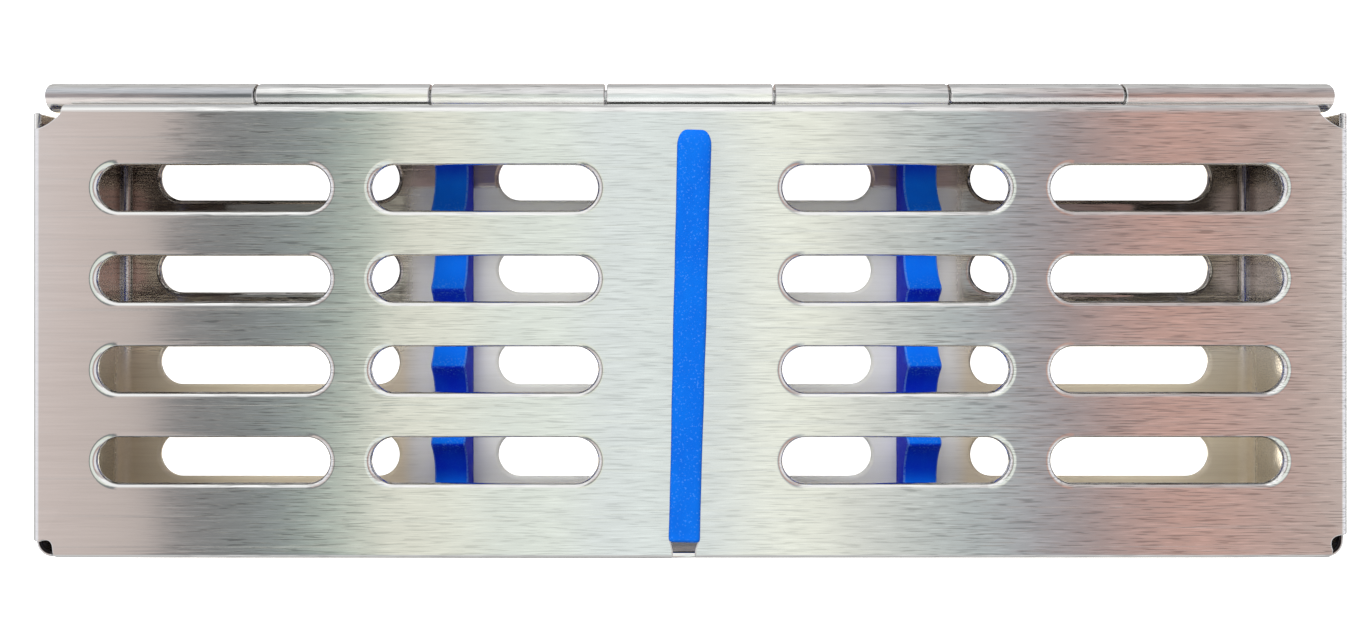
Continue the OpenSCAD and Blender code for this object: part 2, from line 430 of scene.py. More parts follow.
@dataclass(frozen=True)
class Silicone:
    """Moulded silicone with a fine satin grain.

    Args:
        name: the material's name.
        tone: main colour; where ridge is set, also the painted lit colour of slopes facing the rear.
        deep: colour of the darker patches; where ridge is set, also the painted shade of slopes facing
            the front and of the sides.
        roughness: base roughness.
        sparkle: strength of the bright flecks, grain painted lighter as glints.
        ridge: height from which the painted glints are thick and the ridge line gets a painted highlight,
            or 0; when set, the slopes are painted lit and shaded by facing and the rounded side edges get
            a painted highlight.
    """

    name: str
    tone: tuple[float, float, float, float]
    deep: tuple[float, float, float, float]
    roughness: float = 0.42
    sparkle: float = 1.0
    ridge: float = 0.0

    def make(self) -> bpy.types.Material:
        """Builds the material.

        Returns:
            The material.
        """
        material = bpy.data.materials.new(self.name)
        material.use_nodes = True
        g = Graph(material.node_tree)
        cloud = g.grain((260.0, 160.0, 260.0), 3.0, 0.55)
        skin = g.grain((2600.0, 2600.0, 2600.0), 3.0, 0.6)
        speckle_noise = g.grain((3600.0, 3600.0, 3600.0), 1.0, 0.5)
        # Bright flecks: a grain in the bump and roughness, also painted lighter as glints.
        fleck_glint = speckle_noise.above(0.66, 0.08) * self.sparkle
        base = g.blend(cloud * 1.2 - 0.1, self.deep, self.tone)
        # Painted light and shade by facing: slopes facing the rear take the lit tone, slopes facing the
        # front and the sides take the darker deep colour as painted shade.
        if self.ridge:
            where = g.add("ShaderNodeTexCoord", output="Object")
            z = g.add("ShaderNodeSeparateXYZ", {}, {0: where}, 2)
            facing = g.add("ShaderNodeTexCoord", output="Normal")
            across = abs(g.add("ShaderNodeSeparateXYZ", {}, {0: facing}, 0))
            along = g.add("ShaderNodeSeparateXYZ", {}, {0: facing}, 1)
            lit_side = along.above(0.0, 0.5) * 0.8 + cloud * 0.4 - 0.1
            base = g.blend(lit_side - across.above(0.85, 0.2) * 0.5, self.deep, self.tone)
            # Painted glints gather on the heights near the ridges.
            high = z.above(self.ridge, 0.0012)
            fleck_glint = speckle_noise.above(0.6, 0.1) * (high * 0.9 + 0.1) * self.sparkle
            # Painted highlight along the rounded side edges and along the ridge line.
            corner = across.above(0.45, 0.2) - across.above(0.9, 0.1)
            rim = corner * speckle_noise.above(0.4, 0.3) * 0.5
            rim = rim + z.above(self.ridge + 0.00105, 0.0001) * speckle_noise.above(0.45, 0.2) * 0.35
            base = g.blend(rim, base, colour_of(120, 165, 240))
        # Painted glints lighten the flecks.
        base = g.blend(fleck_glint * 0.4, base, colour_of(110, 170, 245))
        rough = self.roughness + (skin - 0.5) * 0.3 - fleck_glint * 0.12
        height = skin * 0.5 + cloud * 0.8 + fleck_glint * 0.35
        bump = g.add(
            "ShaderNodeBump", {}, {"Strength": 0.6, "Distance": 0.00006, "Height": height}
        )
        shader = g.add(
            "ShaderNodeBsdfPrincipled",
            {},
            {
                "Base Color": base,
                "Roughness": rough,
                "Normal": bump,
                "IOR": 1.43,
                "Specular IOR Level": 0.1,
            },
        )
        g.add("ShaderNodeOutputMaterial", {}, {"Surface": shader})
        return material


@dataclass(frozen=True)
class Bench:
    """Plain pale bench top, lit from below so that it reads white."""

    name: str = "bench_white"
    glow: float = 1.0

    def make(self) -> bpy.types.Material:
        """Builds the material.

        Returns:
            The material.
        """
        material = bpy.data.materials.new(self.name)
        material.use_nodes = True
        g = Graph(material.node_tree)
        speck = g.grain((60.0, 60.0, 60.0), 2.0, 0.5)
        base = g.blend(speck, (0.86, 0.86, 0.86, 1.0), (0.9, 0.9, 0.9, 1.0))
        values = {
            "Base Color": base,
            "Roughness": 0.9,
            "Emission Color": (1.0, 1.0, 1.0, 1.0),
            "Emission Strength": self.glow,
        }
        shader = g.add("ShaderNodeBsdfPrincipled", {}, values)
        g.add("ShaderNodeOutputMaterial", {}, {"Surface": shader})
        return material


# --------------------------------------------------------------------------- mesh helpers


class Workshop:
    """Turns vertex and face lists into finished pieces."""

    @staticmethod
    def place(
        name: str,
        points: Sequence[Point3],
        faces: Sequence[Sequence[int]],
        material: bpy.types.Material,
    ) -> bpy.types.Object:
        """Makes an object from millimetre coordinates.

        Args:
            name: the piece's name.
            points: vertices in millimetres.
            faces: vertex numbers of each face.
            material: its finish.

        Returns:
            The object, smooth shaded.
        """
        mesh = bpy.data.meshes.new(name)
        mesh.from_pydata([tuple(c * MM for c in p) for p in points], [], [list(f) for f in faces])
        mesh.materials.append(material)
        mesh.polygons.foreach_set("use_smooth", [True] * len(mesh.polygons))
        mesh.update()
        piece = bpy.data.objects.new(name, mesh)
        bpy.context.scene.collection.objects.link(piece)
        return piece

    @staticmethod
    def square_up(piece: bpy.types.Object) -> None:
        """Merges doubled vertices and makes every normal point outwards."""
        work = bmesh.new()
        work.from_mesh(piece.data)
        bmesh.ops.remove_doubles(work, verts=work.verts, dist=1e-7)
        bmesh.ops.recalc_face_normals(work, faces=work.faces)
        work.to_mesh(piece.data)
        work.free()

    @staticmethod
    def soften(piece: bpy.types.Object, width: float, segments: int = 3) -> None:
        """Rounds the edges that carry a bevel weight and evens the shading.

        Args:
            piece: the piece.
            width: width of a full-weight edge in metres.
            segments: facets across an edge.
        """
        bevel = piece.modifiers.new("edges", "BEVEL")
        bevel.limit_method = "WEIGHT"
        bevel.width = width
        bevel.segments = segments
        bevel.use_clamp_overlap = False
        bevel.loop_slide = False
        even = piece.modifiers.new("even", "WEIGHTED_NORMAL")
        even.mode = "FACE_AREA"
        even.weight = 60
        even.keep_sharp = True

    @staticmethod
    def loft(rings: Sequence[Sequence[Point3]], closed_ends: bool = True) -> tuple[list, list]:
        """Skins a run of closed rings with quads.

        Args:
            rings: rings of equal length, in order.
            closed_ends: whether the first and last rings are capped.

        Returns:
            Vertices and faces.
        """
        count = len(rings[0])
        points = [p for ring in rings for p in ring]
        faces: list[tuple[int, ...]] = []
        for r in range(len(rings) - 1):
            for i in range(count):
                j = (i + 1) % count
                a = r * count
                faces.append((a + i, a + j, a + count + j, a + count + i))
        if closed_ends:
            faces.append(tuple(reversed(range(count))))
            faces.append(tuple(range((len(rings) - 1) * count, len(rings) * count)))
        return points, faces


def obround(x0: float, x1: float, y: float, width: float, grow: float = 0.0) -> list[Point2]:
    """Outline of a slot with round ends, counter-clockwise.

    Args:
        x0: left end.
        x1: right end.
        y: middle.
        width: width of the slot.
        grow: how far the outline is moved outwards.

    Returns:
        The outline's points.
    """
    radius = width / 2 + grow
    steps = 20
    left, right = x0 + width / 2, x1 - width / 2
    points = [
        (right + radius * math.sin(math.pi * i / steps), y - radius * math.cos(math.pi * i / steps))
        for i in range(steps + 1)
    ]
    points += [
        (left - radius * math.sin(math.pi * i / steps), y + radius * math.cos(math.pi * i / steps))
        for i in range(steps + 1)
    ]
    return points


def inside(point: Point2, loop: Sequence[Point2]) -> bool:
    """Whether a point lies inside a closed outline."""
    x, y = point
    hit = False
    last = loop[-1]
    for here in loop:
        if (here[1] > y) != (last[1] > y):
            cut = (last[0] - here[0]) * (y - here[1]) / (last[1] - here[1]) + here[0]
            if x < cut:
                hit = not hit
        last = here
    return hit


@dataclass
class FoldedSheet:
    """A sheet folded into a shallow pan, built as pairs of outer and inner points.

    The pan opens along +w, and w = 0 is the outer face of its flat. tip() places w in the frame.

    Args:
        half_x: half the outside length.
        y0: outside of the front wall.
        y1: outside of the rear wall.
        thick: sheet thickness.
        bend: outside bend radius.
        corner: outside radius of the upright front corners.
        depth: height of the front and end walls.
        tip: turns w into z.
        edge_weight: bevel weight of plain sheet edges.
    """

    half_x: float
    y0: float
    y1: float
    thick: float
    bend: float
    corner: float
    depth: float
    tip: Callable[[float], float]
    edge_weight: float = 0.3
    outer: list[Point3] = field(default_factory=list)
    inner: list[Point3] = field(default_factory=list)
    faces: list[tuple[int, ...]] = field(default_factory=list)
    known: dict[tuple[int, int, int], int] = field(default_factory=dict)
    rims: set[int] = field(default_factory=set)

    def pair(self, out: Point3, inn: Point3) -> int:
        """Adds a point of the sheet, or finds the same one.

        Args:
            out: position on the outer face, as x, y, w.
            inn: position on the inner face.

        Returns:
            Its number.
        """
        key = (round(out[0] * 2000), round(out[1] * 2000), round(out[2] * 2000))
        if key not in self.known:
            self.known[key] = len(self.outer)
            self.outer.append(out)
            self.inner.append(inn)
        return self.known[key]

    def quad(self, *numbers: int) -> None:
        """Adds a face unless it has collapsed."""
        kept = [n for i, n in enumerate(numbers) if n not in numbers[:i]]
        if len(kept) > 2:
            self.faces.append(tuple(kept))

    def flat(self, outline: Sequence[Point2], holes: Sequence[Sequence[Point2]]) -> None:
        """Fills the flat of the pan, less its holes.

        Args:
            outline: the outline, counter-clockwise.
            holes: outline of each hole, counter-clockwise, ring points first.
        """
        loops = [list(outline)] + [list(h) for h in holes]
        points = [Vector(p) for loop in loops for p in loop]
        edges = []
        start = 0
        for loop in loops:
            edges += [(start + i, start + (i + 1) % len(loop)) for i in range(len(loop))]
            start += len(loop)
        found = delaunay_2d_cdt(points, edges, [], 0, 1e-7)
        places, triangles = found[0], found[2]
        for triangle in triangles:
            a, b, c = (places[i] for i in triangle)
            mid = ((a.x + b.x + c.x) / 3, (a.y + b.y + c.y) / 3)
            if not inside(mid, loops[0]) or any(inside(mid, h) for h in loops[1:]):
                continue
            self.quad(*[self.on_flat(p.x, p.y) for p in (a, b, c)])

    def on_flat(self, x: float, y: float) -> int:
        """A point of the flat."""
        return self.pair((x, y, 0.0), (x, y, self.thick))

    def ring(self, hole: Sequence[Point2], around: Sequence[Point2]) -> None:
        """Joins a hole's edge to the ring around it and marks the edge as a rim.

        Args:
            hole: the hole's outline.
            around: the same number of points, further out.
        """
        inner_ring = [self.on_flat(*p) for p in hole]
        outer_ring = [self.on_flat(*p) for p in around]
        self.rims.update(inner_ring)
        for i in range(len(hole)):
            j = (i + 1) % len(hole)
            self.quad(inner_ring[i], outer_ring[i], outer_ring[j], inner_ring[j])

    def profile(self, top: float, stops: Sequence[float] = ()) -> list[tuple[float, float, float, float]]:
        """Section of a bend and the wall after it.

        Args:
            top: where the wall ends.
            stops: heights that need a point.

        Returns:
            Outer distance and height, then inner distance and height, for each point.
        """
        section = []
        steps = 7
        small = self.bend - self.thick
        for i in range(steps + 1):
            angle = math.pi / 2 * i / steps
            section.append(
                (
                    self.bend * math.sin(angle),
                    self.bend * (1 - math.cos(angle)),
                    small * math.sin(angle),
                    self.thick + small * (1 - math.cos(angle)),
                )
            )
        for height in sorted({*stops, top}):
            if self.bend + 1e-6 < height <= top + 1e-6:
                section.append((self.bend, height, small, height))
        return section

    def end_wall(
        self, side: Side, y_from: float, y_to: float, stops: Sequence[float], first: int = 0
    ) -> None:
        """Folds an end wall between two stations.

        Args:
            side: which end.
            y_from: front station.
            y_to: rear station.
            stops: heights that need a point.
            first: which point of the bend it starts at.
        """
        s = side.value
        base = self.half_x - self.bend
        section = self.profile(self.depth, stops)[first:]
        for (d0, w0, e0, v0), (d1, w1, e1, v1) in zip(section, section[1:]):
            corners = []
            for y, d, w, e, v in (
                (y_from, d0, w0, e0, v0),
                (y_to, d0, w0, e0, v0),
                (y_to, d1, w1, e1, v1),
                (y_from, d1, w1, e1, v1),
            ):
                corners.append(self.pair((s * (base + d), y, w), (s * (base + e), y, v)))
            self.quad(*(corners if s < 0 else reversed(corners)))

    def long_wall(
        self,
        front: bool,
        stations: Sequence[float],
        top: float,
        stops: Sequence[float],
        first: int = 0,
    ) -> None:
        """Folds a front or rear wall between stations.

        Args:
            front: the front wall, or else the rear one.
            stations: places along x, in order.
            top: height of the wall.
            stops: heights that need a point.
            first: which point of the bend it starts at.
        """
        s = -1 if front else 1
        base = self.y0 + self.bend if front else self.y1 - self.bend
        section = self.profile(top, stops)[first:]
        for xa, xb in zip(stations, stations[1:]):
            for (d0, w0, e0, v0), (d1, w1, e1, v1) in zip(section, section[1:]):
                corners = []
                for x, d, w, e, v in (
                    (xa, d0, w0, e0, v0),
                    (xb, d0, w0, e0, v0),
                    (xb, d1, w1, e1, v1),
                    (xa, d1, w1, e1, v1),
                ):
                    corners.append(self.pair((x, base + s * d, w), (x, base + s * e, v)))
                self.quad(*(corners if s > 0 else reversed(corners)))

    def upright(self, side: Side, heights: Sequence[float]) -> None:
        """Joins the front wall to an end wall round an upright corner.

        Args:
            side: which end.
            heights: heights of the corner's rows.
        """
        s = side.value
        cx, cy = s * (self.half_x - self.corner), self.y0 + self.corner
        small = self.corner - self.thick
        steps = 8
        for low, high in zip(heights, heights[1:]):
            for i in range(steps):
                corners = []
                for n, w in ((i, low), (i + 1, low), (i + 1, high), (i, high)):
                    angle = math.pi / 2 * n / steps
                    out = (
                        cx + s * self.corner * math.cos(angle),
                        cy - self.corner * math.sin(angle),
                        w,
                    )
                    inn = (cx + s * small * math.cos(angle), cy - small * math.sin(angle), w)
                    corners.append(self.pair(out, inn))
                self.quad(*(reversed(corners) if s > 0 else corners))

    def curl(self, xa: float, xb: float, start: float, centre: float, radius: float, end: float) -> None:
        """Rolls a knuckle from the rear wall round the hinge axis.

        Args:
            xa: left end of the knuckle.
            xb: right end of the knuckle.
            start: height at which the knuckle leaves the wall.
            centre: height of the hinge axis.
            radius: outside radius of the knuckle.
            end: angle in degrees at which the sheet's end lies.
        """
        axis_y = self.y1 - self.thick + radius
        bore = radius - self.thick
        section = [(self.y1, start, self.y1 - self.thick, start)]
        section.append((self.y1, (start + centre) / 2, self.y1 - self.thick, (start + centre) / 2))
        steps = 34
        for i in range(steps + 1):
            angle = math.radians(180 + (end - 180) * i / steps)
            cy, cz = math.cos(angle), math.sin(angle)
            section.append(
                (axis_y + bore * cy, centre + bore * cz, axis_y + radius * cy, centre + radius * cz)
            )
        for (a0, w0, b0, v0), (a1, w1, b1, v1) in zip(section, section[1:]):
            corners = []
            for x, a, w, b, v in (
                (xa, a0, w0, b0, v0),
                (xb, a0, w0, b0, v0),
                (xb, a1, w1, b1, v1),
                (xa, a1, w1, b1, v1),
            ):
                corners.append(self.pair((x, a, w), (x, b, v)))
            self.quad(*corners)

    def build(self, name: str, material: bpy.types.Material, rim: float) -> bpy.types.Object:
        """Closes the sheet and makes the piece.

        Args:
            name: the piece's name.
            material: its finish.
            rim: radius of the rounded slot rims, in millimetres.

        Returns:
            The piece.
        """
        count = len(self.outer)
        points = [(x, y, self.tip(w)) for x, y, w in self.outer + self.inner]
        used: dict[tuple[int, int], int] = {}
        for face in self.faces:
            for a, b in zip(face, face[1:] + face[:1]):
                used[(a, b)] = used.get((a, b), 0) + 1
        faces = [tuple(f) for f in self.faces]
        faces += [tuple(count + i for i in reversed(f)) for f in self.faces]
        open_edges = [(a, b) for (a, b) in used if (b, a) not in used]
        faces += [(b, a, count + a, count + b) for a, b in open_edges]
        piece = Workshop.place(name, points, faces, material)
        work = bmesh.new()
        work.from_mesh(piece.data)
        work.verts.ensure_lookup_table()
        layer = work.edges.layers.float.new("bevel_weight_edge")
        for a, b in open_edges:
            rim_edge = a in self.rims and b in self.rims
            top = work.edges.get((work.verts[a], work.verts[b]))
            low = work.edges.get((work.verts[count + a], work.verts[count + b]))
            if top:
                top[layer] = 1.0 if rim_edge else self.edge_weight
            if low:
                low[layer] = 0.0 if rim_edge else self.edge_weight
        bmesh.ops.recalc_face_normals(work, faces=work.faces)
        work.to_mesh(piece.data)
        work.free()
        piece.data.update()
        Workshop.soften(piece, rim * MM)
        return piece


# --------------------------------------------------------------------------- sub-assemblies


@dataclass
class Hinge:
    """Sizes that the lid and the base share at the hinge."""

    axis_y: float = 30.75
    axis_z: float = 17.5
    barrel: float = 2.0
    half: float = 89.0
    middle: float = 23.3
    length: float = 24.2
    gap: float = 0.3
    count: int = 7

    def joint(self, number: int) -> float:
        """Where knuckle number - 1 meets knuckle number."""
        if number in (0, self.count):
            return -self.half if number == 0 else self.half
        step = number - self.count / 2
        return math.copysign(self.middle / 2 + (abs(step) - 0.5) * self.length, step)

    def span(self, number: int) -> Point2:
        """Left and right end of one knuckle."""
        left = self.joint(number) + (self.gap / 2 if number else 0.0)
        right = self.joint(number + 1) - (self.gap / 2 if number < self.count - 1 else 0.0)
        return left, right


@dataclass
class Lid:
    """The perforated lid with its front and end flanges and three rolled knuckles."""

    finish: BrushedSteel
    hinge: Hinge
    half_x: float = 89.97
    y0: float = -32.72
    y1: float = 29.55
    top: float = 21.0
    thick: float = 0.8
    bend: float = 1.4
    corner: float = 2.3
    depth: float = 12.0
    relief_left: Point2 = (3.1, 2.5)
    relief_right: Point2 = (2.5, 3.4)
    rear_relief: float = 4.2
    rear_stop: float = 1.3
    slit: float = 3.4
    slot_width: float = 6.2
    slot_pitch: float = 12.4
    slot_middle: float = -0.6
    inner_slot: Point2 = (12.6, 43.5)
    outer_slot: Point2 = (49.2, 80.95)
    strip_slot: float = 3.0
    mouth: Point2 = (3.8, 2.8)
    strip_turn: float = 1.45
    rim: float = 0.7

    def turned(self, x: float, y: float) -> Point2:
        """A point of the strip's slot, turned a little out of square."""
        angle = math.radians(-self.strip_turn)
        mid = (self.y0 + self.y1) / 2
        away = y - mid
        return (
            -0.13 + x * math.cos(angle) - away * math.sin(angle),
            mid + x * math.sin(angle) + away * math.cos(angle),
        )

    def outline(self) -> list[Point2]:
        """Outline of the flat between the bends, with the corner notches and the strip's slot.

        Returns:
            The outline, counter-clockwise.
        """
        x, front, rear = self.half_x - self.bend, self.y0 + self.bend, self.y1 - self.bend
        rx, ry = self.half_x - self.rear_relief, self.y1 - self.slit
        half = self.strip_slot / 2
        wide, wide_y = self.mouth[0] / 2, self.y0 + self.mouth[1]
        back = self.y1 - 3.7 - 1.0
        left_x, left_y = self.front_relief(Side.LEFT)
        right_x, right_y = self.front_relief(Side.RIGHT)
        points: list[Point2] = [(-left_x, front), (self.turned(-half, front)[0], front)]
        points += [self.turned(-wide, wide_y), self.turned(-half, wide_y + 1.8)]
        points += [self.turned(-half, back), self.turned(half, back)]
        points += [self.turned(half, wide_y + 1.8), self.turned(wide, wide_y)]
        points += [(self.turned(half, front)[0], front), (right_x, front)]
        points += self.bay((right_x, front), (x, right_y), 0.75)
        points += [(x, right_y), (x, ry)] + self.bay((x, ry), (rx, rear), 0.2) + [(rx, rear)]
        for number in range(self.hinge.count - 1, -1, -1):
            if number % 2:
                left, right = self.hinge.span(number)
                points += [(right, rear), (left, rear)]
        points += [(-rx, rear)] + self.bay((-rx, rear), (-x, ry), 0.2)
        points += [(-x, ry), (-x, left_y)] + self.bay((-x, left_y), (-left_x, front), 0.75)
        return points

    def front_relief(self, side: Side) -> Point2:
        """Where the front bend and the end bend stop at a front corner."""
        along, across = self.relief_left if side is Side.LEFT else self.relief_right
        return self.half_x - along, self.y0 + across

    @staticmethod
    def bay(start: Point2, stop: Point2, deep: float) -> list[Point2]:
        """Points of a notch's hollow curve between its two ends.

        Args:
            start: first end.
            stop: second end.
            deep: how far the curve bows into the sheet, which lies to its left.

        Returns:
            The points between the ends.
        """
        steps = 8
        dx, dy = stop[0] - start[0], stop[1] - start[1]
        size = math.hypot(dx, dy)
        points = []
        for i in range(1, steps):
            t = i / steps
            bow = deep * 4 * t * (1 - t)
            points.append((start[0] + dx * t - dy / size * bow, start[1] + dy * t + dx / size * bow))
        return points

    def build(self) -> bpy.types.Object:
        """Builds the lid.

        Returns:
            The lid.
        """
        sheet = FoldedSheet(
            self.half_x,
            self.y0,
            self.y1,
            self.thick,
            self.bend,
            self.corner,
            self.depth,
            lambda w: self.top - w,
        )
        holes = []
        for row in range(4):
            y = self.slot_middle + (row - 1.5) * self.slot_pitch
            for a, b in (self.inner_slot, self.outer_slot):
                for x0, x1 in ((-b, -a), (a, b)):
                    hole = obround(x0, x1, y, self.slot_width)
                    around = obround(x0, x1, y, self.slot_width, 0.9)
                    sheet.ring(hole, around)
                    holes.append(around)
        outline = self.outline()
        sheet.flat(outline, holes)
        stops = (2.4, 3.0, 6.0, 9.0)
        ry = self.y1 - self.slit
        for side in Side:
            sheet.end_wall(side, self.front_relief(side)[1], ry, stops)
            sheet.end_wall(side, ry, self.y1 - self.rear_stop, stops, 2)
        slot_l = self.turned(-self.strip_slot / 2, self.y0 + self.bend)[0]
        slot_r = self.turned(self.strip_slot / 2, self.y0 + self.bend)[0]
        sheet.long_wall(True, (-self.front_relief(Side.LEFT)[0], slot_l), self.depth, stops)
        sheet.long_wall(True, (slot_l, slot_r), self.depth, stops, 5)
        sheet.long_wall(True, (slot_r, self.front_relief(Side.RIGHT)[0]), self.depth, stops)
        self.close_corners(sheet, stops)
        rx = self.half_x - self.rear_relief
        stations = [-rx]
        for number in range(self.hinge.count):
            if number % 2:
                stations += list(self.hinge.span(number))
        stations.append(rx)
        sheet.long_wall(False, stations, self.bend, ())
        drop = self.top - self.hinge.axis_z
        for number in range(1, self.hinge.count, 2):
            left, right = self.hinge.span(number)
            sheet.curl(left, right, self.bend, drop, self.hinge.barrel, -118.0)
        return sheet.build("lid_shell", self.finish.make(), self.rim)

    def close_corners(self, sheet: FoldedSheet, stops: Sequence[float]) -> None:
        """Runs the flanges on to the upright corners below the relief holes.

        Args:
            sheet: the sheet.
            stops: the flanges' heights.
        """
        levels = [self.bend, *stops, self.depth]
        cx, cy = self.half_x - self.corner, self.y0 + self.corner
        for side in Side:
            s = side.value
            fx, fy = self.front_relief(side)
            sheet.upright(side, levels)
            for low, high in zip(levels, levels[1:]):
                corners = []
                for x, w in ((fx, low), (cx, low), (cx, high), (fx, high)):
                    corners.append(
                        sheet.pair((s * x, self.y0, w), (s * x, self.y0 + self.thick, w))
                    )
                sheet.quad(*(reversed(corners) if s > 0 else corners))
                corners = []
                for y, w in ((cy, low), (fy, low), (fy, high), (cy, high)):
                    corners.append(
                        sheet.pair(
                            (s * self.half_x, y, w), (s * (self.half_x - self.thick), y, w)
                        )
                    )
                sheet.quad(*(reversed(corners) if s > 0 else corners))

    def ride(self) -> bpy.types.Object:
        """Builds the lid and hangs it on its body.

        Returns:
            The lid.
        """
        piece = self.build()
        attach(piece, "lid")
        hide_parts("lid_cover")
        return piece


@dataclass
class Base:
    """The perforated base with its walls and four rolled knuckles."""

    finish: BrushedSteel
    hinge: Hinge
    half_x: float = 88.9
    y0: float = -31.65
    y1: float = 29.55
    floor: float = 1.0
    thick: float = 0.8
    bend: float = 1.9
    corner: float = 1.9
    depth: float = 9.5
    relief: float = 2.9
    slot_width: float = 6.9
    slot_pitch: float = 14.5
    slot_middle: float = -0.75
    middle_slot: float = 29.4
    outer_slot: Point2 = (45.0, 82.7)
    comb_x: float = 35.9
    web: Point3 = (2.5, -27.5, 24.5)
    rim: float = 0.35

    def build(self) -> bpy.types.Object:
        """Builds the base.

        Returns:
            The base.
        """
        sheet = FoldedSheet(
            self.half_x,
            self.y0,
            self.y1,
            self.thick,
            self.bend,
            self.corner,
            self.depth,
            lambda w: self.floor + w,
            0.45,
        )
        holes = []
        for row in range(4):
            y = self.slot_middle + (row - 1.5) * self.slot_pitch
            a, b = self.outer_slot
            for x0, x1 in ((-b, -a), (-self.middle_slot, self.middle_slot), (a, b)):
                hole = obround(x0, x1, y, self.slot_width)
                around = obround(x0, x1, y, self.slot_width, 0.7)
                sheet.ring(hole, around)
                holes.append(around)
        width, web0, web1 = self.web
        for side in Side:
            x = side.value * self.comb_x
            holes.append(
                [
                    (x - width / 2, web0),
                    (x + width / 2, web0),
                    (x + width / 2, web1),
                    (x - width / 2, web1),
                ]
            )
        x, front, rear = self.half_x - self.bend, self.y0 + self.bend, self.y1 - self.bend
        fx, fy, ry = self.half_x - self.relief, self.y0 + self.relief, self.y1 - self.relief
        outline: list[Point2] = [(-fx, front), (fx, front)]
        outline += Lid.bay((fx, front), (x, fy), 0.5) + [(x, fy), (x, ry)]
        outline += Lid.bay((x, ry), (fx, rear), 0.5) + [(fx, rear), (-fx, rear)]
        outline += Lid.bay((-fx, rear), (-x, ry), 0.5) + [(-x, ry), (-x, fy)]
        outline += Lid.bay((-x, fy), (-fx, front), 0.5)
        sheet.flat(outline, holes)
        stops = (2.6, 6.0)
        for side in Side:
            sheet.end_wall(side, fy, ry, stops)
        sheet.long_wall(True, (-fx, fx), self.depth, stops)
        self.close_corners(sheet, fx, fy, ry, stops)
        self.rear_wall(sheet, fx)
        return sheet.build("base_shell", self.finish.make(), self.rim)

    def close_corners(
        self, sheet: FoldedSheet, fx: float, fy: float, ry: float, stops: Sequence[float]
    ) -> None:
        """Runs the walls on to the upright corners above the drain holes.

        Args:
            sheet: the sheet.
            fx: end of the front wall's bend.
            fy: front end of the end wall's bend.
            ry: rear end of the end wall's bend.
            stops: the walls' heights.
        """
        levels = [*stops, self.depth]
        cx, cy = self.half_x - self.corner, self.y0 + self.corner
        last = self.y1 - self.thick - 0.15
        for side in Side:
            s = side.value
            sheet.upright(side, levels)
            for low, high in zip(levels, levels[1:]):
                corners = []
                for x, w in ((fx, low), (cx, low), (cx, high), (fx, high)):
                    corners.append(
                        sheet.pair((s * x, self.y0, w), (s * x, self.y0 + self.thick, w))
                    )
                sheet.quad(*(reversed(corners) if s > 0 else corners))
                for ya, yb in ((cy, fy), (ry, last)):
                    corners = []
                    for y, w in ((ya, low), (yb, low), (yb, high), (ya, high)):
                        corners.append(
                            sheet.pair(
                                (s * self.half_x, y, w), (s * (self.half_x - self.thick), y, w)
                            )
                        )
                    sheet.quad(*(reversed(corners) if s > 0 else corners))

    def rear_wall(self, sheet: FoldedSheet, fx: float) -> None:
        """Folds the rear wall up to the hinge and rolls its knuckles.

        Args:
            sheet: the sheet.
            fx: end of the wall's bend.
        """
        low, high = 2.6, self.hinge.axis_z - self.hinge.barrel - 0.3 - self.floor
        stations = [-fx]
        for number in range(self.hinge.count):
            stations += [x for x in self.hinge.span(number) if abs(x) < fx]
        stations.append(fx)
        sheet.long_wall(False, stations, high, (low, 6.0, self.depth))
        inner_y = self.y1 - self.thick
        levels = [low, 6.0, self.depth, high]
        for side in Side:
            s = side.value
            for bottom, top in zip(levels, levels[1:]):
                corners = []
                for x, w in ((fx, bottom), (self.half_x, bottom), (self.half_x, top), (fx, top)):
                    corners.append(sheet.pair((s * x, self.y1, w), (s * x, inner_y, w)))
                sheet.quad(*(corners if s > 0 else reversed(corners)))
        centre = self.hinge.axis_z - self.floor
        for number in range(0, self.hinge.count, 2):
            left, right = self.hinge.span(number)
            left, right = max(left, -self.half_x), min(right, self.half_x)
            cuts = sorted({left, right, *[c for c in (-fx, fx) if left < c < right]})
            for a, b in zip(cuts, cuts[1:]):
                sheet.curl(a, b, high, centre, self.hinge.barrel, -118.0)

    def ride(self) -> bpy.types.Object:
        """Builds the base and sets it on its body.

        Returns:
            The base.
        """
        piece = self.build()
        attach(piece, "base")
        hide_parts("base_tray")
        return piece


@dataclass
class Wire:
    """The drawn wire that pins the knuckles together."""

    finish: BrushedSteel
    hinge: Hinge
    radius: float = 1.15
    inset: float = 0.4
    dome: float = 0.35

    def ride(self) -> bpy.types.Object:
        """Turns the wire with domed ends and sets it on its body.

        Returns:
            The wire.
        """
        half = self.hinge.half - self.inset
        stations = [(-half, 0.45), (-half + 0.06, 0.75)]
        steps = 6
        for i in range(steps + 1):
            angle = math.pi / 2 * i / steps
            stations.append(
                (
                    -half + 0.06 + self.dome * (1 - math.cos(angle)),
                    self.radius - self.dome * (1 - math.sin(angle)),
                )
            )
        stations += [(x, self.radius) for x in (-60.0, -36.0, -12.0)]
        stations += [(-x, r) for x, r in reversed(stations)]
        sides = 40
        rings = []
        for x, r in stations:
            ring = []
            for i in range(sides):
                angle = 2 * math.pi * i / sides
                ring.append(
                    (x, self.hinge.axis_y + r * math.cos(angle), self.hinge.axis_z + r * math.sin(angle))
                )
            rings.append(ring)
        points, faces = Workshop.loft(rings)
        piece = Workshop.place("hinge_wire", points, faces, self.finish.make())
        Workshop.square_up(piece)
        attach(piece, "base")
        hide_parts("hinge_pin")
        return piece


